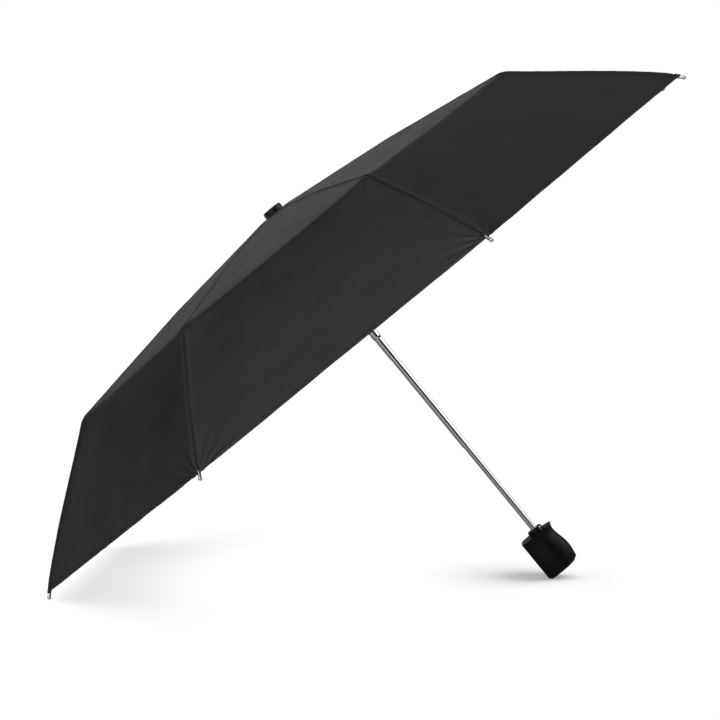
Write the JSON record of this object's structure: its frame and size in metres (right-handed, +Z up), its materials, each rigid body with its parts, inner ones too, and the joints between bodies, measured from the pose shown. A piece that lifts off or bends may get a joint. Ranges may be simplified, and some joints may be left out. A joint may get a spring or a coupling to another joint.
{
  "type": "folding umbrella",
  "caption": "Compact folding umbrella, open: faceted black fabric canopy on folding ribs, telescoping bright metal shaft and a short contoured black handle.",
  "frame": {"origin": "centre of the open umbrella's bounding box, on the floor that it lies on", "axes": "+Z up from the floor, +X along the floor from the two lowest rib tips towards the handle, +Y across; the shaft lies in the plane y = 0"},
  "size_m": [0.6882, 0.8904, 0.5748],
  "materials": {
    "soft_touch_black": "soft-touch, fine grain",
    "black_plastic": "moulded, satin",
    "red_accent": "moulded, satin",
    "chromed_tube": "bright chromed steel",
    "steel": "plain spring steel",
    "black_fabric": "plain-weave polyester, matt with a faint sheen",
    "bright_metal": "nickelled",
    "rib_steel": "black lacquered steel channel",
    "rib_aluminium": "grey anodised",
    "rib_fibreglass": "black resin"
  },
  "bodies": {
    "handle": {"handle_shell": "soft_touch_black", "handle_core": "black_plastic", "handle_collar": "black_plastic", "handle_inlay": "red_accent", "tube_pin": "steel", "bottom_tube": "chromed_tube"},
    "bottom_lock": {"bottom_lock": "steel"},
    "middle_tube": {"middle_tube": "chromed_tube"},
    "middle_lock": {"middle_lock": "steel"},
    "top_shaft": {"top_tube": "chromed_tube", "crown": "black_plastic", "crown_ring": "steel", "top_plug": "black_plastic", "cap": "black_plastic", "canopy": "black_fabric"},
    "runner_catch": {"runner_catch": "steel"},
    "runner": {"runner": "black_plastic", "runner_ring": "steel"},
    "top_rib_1": {"top_rib_1": "rib_steel"},
    "stretcher_1": {"stretcher_1": "rib_steel"},
    "middle_rib_1": {"middle_rib_1": "rib_aluminium"},
    "outer_rib_1": {"outer_rib_1": "rib_fibreglass", "rib_tip_1": "bright_metal"},
    "top_rib_2": {"top_rib_2": "rib_steel"},
    "stretcher_2": {"stretcher_2": "rib_steel"},
    "middle_rib_2": {"middle_rib_2": "rib_aluminium"},
    "outer_rib_2": {"outer_rib_2": "rib_fibreglass", "rib_tip_2": "bright_metal", "tie_strap": "black_fabric", "tie_snap": "bright_metal"},
    "top_rib_3": {"top_rib_3": "rib_steel"},
    "stretcher_3": {"stretcher_3": "rib_steel"},
    "middle_rib_3": {"middle_rib_3": "rib_aluminium"},
    "outer_rib_3": {"outer_rib_3": "rib_fibreglass", "rib_tip_3": "bright_metal"},
    "top_rib_4": {"top_rib_4": "rib_steel"},
    "stretcher_4": {"stretcher_4": "rib_steel"},
    "middle_rib_4": {"middle_rib_4": "rib_aluminium"},
    "outer_rib_4": {"outer_rib_4": "rib_fibreglass", "rib_tip_4": "bright_metal"},
    "top_rib_5": {"top_rib_5": "rib_steel"},
    "stretcher_5": {"stretcher_5": "rib_steel"},
    "middle_rib_5": {"middle_rib_5": "rib_aluminium"},
    "outer_rib_5": {"outer_rib_5": "rib_fibreglass", "rib_tip_5": "bright_metal"},
    "top_rib_6": {"top_rib_6": "rib_steel"},
    "stretcher_6": {"stretcher_6": "rib_steel"},
    "middle_rib_6": {"middle_rib_6": "rib_aluminium"},
    "outer_rib_6": {"outer_rib_6": "rib_fibreglass", "rib_tip_6": "bright_metal"},
    "top_rib_7": {"top_rib_7": "rib_steel"},
    "stretcher_7": {"stretcher_7": "rib_steel"},
    "middle_rib_7": {"middle_rib_7": "rib_aluminium"},
    "outer_rib_7": {"outer_rib_7": "rib_fibreglass", "rib_tip_7": "bright_metal"},
    "top_rib_8": {"top_rib_8": "rib_steel"},
    "stretcher_8": {"stretcher_8": "rib_steel"},
    "middle_rib_8": {"middle_rib_8": "rib_aluminium"},
    "outer_rib_8": {"outer_rib_8": "rib_fibreglass", "rib_tip_8": "bright_metal"}
  },
  "joints": [
    {"name": "middle_tube_slide", "type": "slide", "parent": "handle", "child": "middle_tube", "axis": [0.6359, 0, -0.7718], "range_m": [0, 0.12], "deforming": ["bottom_lock"]},
    {"name": "top_tube_slide", "type": "slide", "parent": "middle_tube", "child": "top_shaft", "axis": [0.6359, 0, -0.7718], "range_m": [0, 0.129], "deforming": ["middle_lock"]},
    {"name": "bottom_lock_press", "type": "slide", "parent": "handle", "child": "bottom_lock", "axis": [0, -1, 0], "range_m": [0, 0.0013], "stiffness_N_per_m": 800},
    {"name": "middle_lock_press", "type": "slide", "parent": "middle_tube", "child": "middle_lock", "axis": [0, -1, 0], "range_m": [0, 0.0013], "stiffness_N_per_m": 800},
    {"name": "runner_catch_press", "type": "slide", "parent": "top_shaft", "child": "runner_catch", "axis": [0, -1, 0], "range_m": [0, 0.0013], "stiffness_N_per_m": 800},
    {"name": "canopy_fold", "type": "hinge", "parent": "top_shaft", "child": "top_rib_1", "pos_m": [-0.09914, 0.0044, 0.42093], "axis": [-0.2953, 0.9239, -0.2433], "range_deg": [0, 79.5], "deforming": ["canopy", "runner_catch"]},
    {"name": "stretcher_1_fold", "type": "hinge", "parent": "top_rib_1", "child": "stretcher_1", "pos_m": [-0.03088, 0.03653, 0.46008], "axis": [-0.2953, 0.9239, -0.2433], "range_deg": [-159, 0]},
    {"name": "middle_rib_1_fold", "type": "hinge", "parent": "top_rib_1", "child": "middle_rib_1", "pos_m": [0.02039, 0.06323, 0.4992], "axis": [-0.2953, 0.9239, -0.2433], "range_deg": [-180, 0]},
    {"name": "outer_rib_1_fold", "type": "hinge", "parent": "middle_rib_1", "child": "outer_rib_1", "pos_m": [0.15143, 0.12306, 0.56732], "axis": [-0.2953, 0.9239, -0.2433], "range_deg": [0, 152]},
    {"name": "top_rib_2_fold", "type": "hinge", "parent": "top_shaft", "child": "top_rib_2", "pos_m": [-0.10394, 0.01062, 0.41698], "axis": [-0.713, 0.3827, -0.5875], "range_deg": [0, 79.5]},
    {"name": "stretcher_2_fold", "type": "hinge", "parent": "top_rib_2", "child": "stretcher_2", "pos_m": [-0.07075, 0.0882, 0.42723], "axis": [-0.713, 0.3827, -0.5875], "range_deg": [-159, 0]},
    {"name": "middle_rib_2_fold", "type": "hinge", "parent": "top_rib_2", "child": "middle_rib_2", "pos_m": [-0.04862, 0.15265, 0.44234], "axis": [-0.713, 0.3827, -0.5875], "range_deg": [-180, 0]},
    {"name": "outer_rib_2_fold", "type": "hinge", "parent": "middle_rib_2", "child": "outer_rib_2", "pos_m": [0.01711, 0.29709, 0.45666], "axis": [-0.713, 0.3827, -0.5875], "range_deg": [0, 152]},
    {"name": "top_rib_3_fold", "type": "hinge", "parent": "top_shaft", "child": "top_rib_3", "pos_m": [-0.11074, 0.01062, 0.41138], "axis": [-0.713, -0.3827, -0.5875], "range_deg": [0, 79.5]},
    {"name": "stretcher_3_fold", "type": "hinge", "parent": "top_rib_3", "child": "stretcher_3", "pos_m": [-0.12715, 0.0882, 0.38076], "axis": [-0.713, -0.3827, -0.5875], "range_deg": [-159, 0]},
    {"name": "middle_rib_3_fold", "type": "hinge", "parent": "top_rib_3", "child": "middle_rib_3", "pos_m": [-0.14622, 0.15265, 0.36193], "axis": [-0.713, -0.3827, -0.5875], "range_deg": [-180, 0]},
    {"name": "outer_rib_3_fold", "type": "hinge", "parent": "middle_rib_3", "child": "outer_rib_3", "pos_m": [-0.17284, 0.29709, 0.30015], "axis": [-0.713, -0.3827, -0.5875], "range_deg": [0, 152]},
    {"name": "top_rib_4_fold", "type": "hinge", "parent": "top_shaft", "child": "top_rib_4", "pos_m": [-0.11554, 0.0044, 0.40742], "axis": [-0.2953, -0.9239, -0.2433], "range_deg": [0, 79.5]},
    {"name": "stretcher_4_fold", "type": "hinge", "parent": "top_rib_4", "child": "stretcher_4", "pos_m": [-0.16702, 0.03653, 0.34791], "axis": [-0.2953, -0.9239, -0.2433], "range_deg": [-159, 0]},
    {"name": "middle_rib_4_fold", "type": "hinge", "parent": "top_rib_4", "child": "middle_rib_4", "pos_m": [-0.21523, 0.06323, 0.30507], "axis": [-0.2953, -0.9239, -0.2433], "range_deg": [-180, 0]},
    {"name": "outer_rib_4_fold", "type": "hinge", "parent": "middle_rib_4", "child": "outer_rib_4", "pos_m": [-0.30715, 0.12306, 0.18948], "axis": [-0.2953, -0.9239, -0.2433], "range_deg": [0, 152]},
    {"name": "top_rib_5_fold", "type": "hinge", "parent": "top_shaft", "child": "top_rib_5", "pos_m": [-0.11554, -0.0044, 0.40742], "axis": [0.2953, -0.9239, 0.2433], "range_deg": [0, 79.5]},
    {"name": "stretcher_5_fold", "type": "hinge", "parent": "top_rib_5", "child": "stretcher_5", "pos_m": [-0.16702, -0.03653, 0.34791], "axis": [0.2953, -0.9239, 0.2433], "range_deg": [-159, 0]},
    {"name": "middle_rib_5_fold", "type": "hinge", "parent": "top_rib_5", "child": "middle_rib_5", "pos_m": [-0.21523, -0.06323, 0.30507], "axis": [0.2953, -0.9239, 0.2433], "range_deg": [-180, 0]},
    {"name": "outer_rib_5_fold", "type": "hinge", "parent": "middle_rib_5", "child": "outer_rib_5", "pos_m": [-0.30715, -0.12306, 0.18948], "axis": [0.2953, -0.9239, 0.2433], "range_deg": [0, 152]},
    {"name": "top_rib_6_fold", "type": "hinge", "parent": "top_shaft", "child": "top_rib_6", "pos_m": [-0.11074, -0.01062, 0.41138], "axis": [0.713, -0.3827, 0.5875], "range_deg": [0, 79.5]},
    {"name": "stretcher_6_fold", "type": "hinge", "parent": "top_rib_6", "child": "stretcher_6", "pos_m": [-0.12715, -0.0882, 0.38076], "axis": [0.713, -0.3827, 0.5875], "range_deg": [-159, 0]},
    {"name": "middle_rib_6_fold", "type": "hinge", "parent": "top_rib_6", "child": "middle_rib_6", "pos_m": [-0.14622, -0.15265, 0.36193], "axis": [0.713, -0.3827, 0.5875], "range_deg": [-180, 0]},
    {"name": "outer_rib_6_fold", "type": "hinge", "parent": "middle_rib_6", "child": "outer_rib_6", "pos_m": [-0.17284, -0.29709, 0.30015], "axis": [0.713, -0.3827, 0.5875], "range_deg": [0, 152]},
    {"name": "top_rib_7_fold", "type": "hinge", "parent": "top_shaft", "child": "top_rib_7", "pos_m": [-0.10394, -0.01062, 0.41698], "axis": [0.713, 0.3827, 0.5875], "range_deg": [0, 79.5]},
    {"name": "stretcher_7_fold", "type": "hinge", "parent": "top_rib_7", "child": "stretcher_7", "pos_m": [-0.07075, -0.0882, 0.42723], "axis": [0.713, 0.3827, 0.5875], "range_deg": [-159, 0]},
    {"name": "middle_rib_7_fold", "type": "hinge", "parent": "top_rib_7", "child": "middle_rib_7", "pos_m": [-0.04862, -0.15265, 0.44234], "axis": [0.713, 0.3827, 0.5875], "range_deg": [-180, 0]},
    {"name": "outer_rib_7_fold", "type": "hinge", "parent": "middle_rib_7", "child": "outer_rib_7", "pos_m": [0.01711, -0.29709, 0.45666], "axis": [0.713, 0.3827, 0.5875], "range_deg": [0, 152]},
    {"name": "top_rib_8_fold", "type": "hinge", "parent": "top_shaft", "child": "top_rib_8", "pos_m": [-0.09914, -0.0044, 0.42093], "axis": [0.2953, 0.9239, 0.2433], "range_deg": [0, 79.5]},
    {"name": "stretcher_8_fold", "type": "hinge", "parent": "top_rib_8", "child": "stretcher_8", "pos_m": [-0.03088, -0.03653, 0.46008], "axis": [0.2953, 0.9239, 0.2433], "range_deg": [-159, 0]},
    {"name": "middle_rib_8_fold", "type": "hinge", "parent": "top_rib_8", "child": "middle_rib_8", "pos_m": [0.02039, -0.06323, 0.4992], "axis": [0.2953, 0.9239, 0.2433], "range_deg": [-180, 0]},
    {"name": "outer_rib_8_fold", "type": "hinge", "parent": "middle_rib_8", "child": "outer_rib_8", "pos_m": [0.15143, -0.12306, 0.56732], "axis": [0.2953, 0.9239, 0.2433], "range_deg": [0, 152]},
    {"name": "runner_travel", "type": "hinge", "parent": "stretcher_1", "child": "runner", "pos_m": [-0.08236, 0.0044, 0.40057], "axis": [-0.2953, 0.9239, -0.2433], "range_deg": [0, 79.5]}
  ],
  "couplings": [
    {"joint": "stretcher_1_fold", "follows": "canopy_fold", "ratio": -2},
    {"joint": "middle_rib_1_fold", "follows": "canopy_fold", "ratio": -2.2642},
    {"joint": "outer_rib_1_fold", "follows": "canopy_fold", "ratio": 1.9119},
    {"joint": "top_rib_2_fold", "follows": "canopy_fold", "ratio": 1},
    {"joint": "stretcher_2_fold", "follows": "canopy_fold", "ratio": -2},
    {"joint": "middle_rib_2_fold", "follows": "canopy_fold", "ratio": -2.2642},
    {"joint": "outer_rib_2_fold", "follows": "canopy_fold", "ratio": 1.9119},
    {"joint": "top_rib_3_fold", "follows": "canopy_fold", "ratio": 1},
    {"joint": "stretcher_3_fold", "follows": "canopy_fold", "ratio": -2},
    {"joint": "middle_rib_3_fold", "follows": "canopy_fold", "ratio": -2.2642},
    {"joint": "outer_rib_3_fold", "follows": "canopy_fold", "ratio": 1.9119},
    {"joint": "top_rib_4_fold", "follows": "canopy_fold", "ratio": 1},
    {"joint": "stretcher_4_fold", "follows": "canopy_fold", "ratio": -2},
    {"joint": "middle_rib_4_fold", "follows": "canopy_fold", "ratio": -2.2642},
    {"joint": "outer_rib_4_fold", "follows": "canopy_fold", "ratio": 1.9119},
    {"joint": "top_rib_5_fold", "follows": "canopy_fold", "ratio": 1},
    {"joint": "stretcher_5_fold", "follows": "canopy_fold", "ratio": -2},
    {"joint": "middle_rib_5_fold", "follows": "canopy_fold", "ratio": -2.2642},
    {"joint": "outer_rib_5_fold", "follows": "canopy_fold", "ratio": 1.9119},
    {"joint": "top_rib_6_fold", "follows": "canopy_fold", "ratio": 1},
    {"joint": "stretcher_6_fold", "follows": "canopy_fold", "ratio": -2},
    {"joint": "middle_rib_6_fold", "follows": "canopy_fold", "ratio": -2.2642},
    {"joint": "outer_rib_6_fold", "follows": "canopy_fold", "ratio": 1.9119},
    {"joint": "top_rib_7_fold", "follows": "canopy_fold", "ratio": 1},
    {"joint": "stretcher_7_fold", "follows": "canopy_fold", "ratio": -2},
    {"joint": "middle_rib_7_fold", "follows": "canopy_fold", "ratio": -2.2642},
    {"joint": "outer_rib_7_fold", "follows": "canopy_fold", "ratio": 1.9119},
    {"joint": "top_rib_8_fold", "follows": "canopy_fold", "ratio": 1},
    {"joint": "stretcher_8_fold", "follows": "canopy_fold", "ratio": -2},
    {"joint": "middle_rib_8_fold", "follows": "canopy_fold", "ratio": -2.2642},
    {"joint": "outer_rib_8_fold", "follows": "canopy_fold", "ratio": 1.9119},
    {"joint": "runner_travel", "follows": "canopy_fold", "ratio": 1}
  ]
}
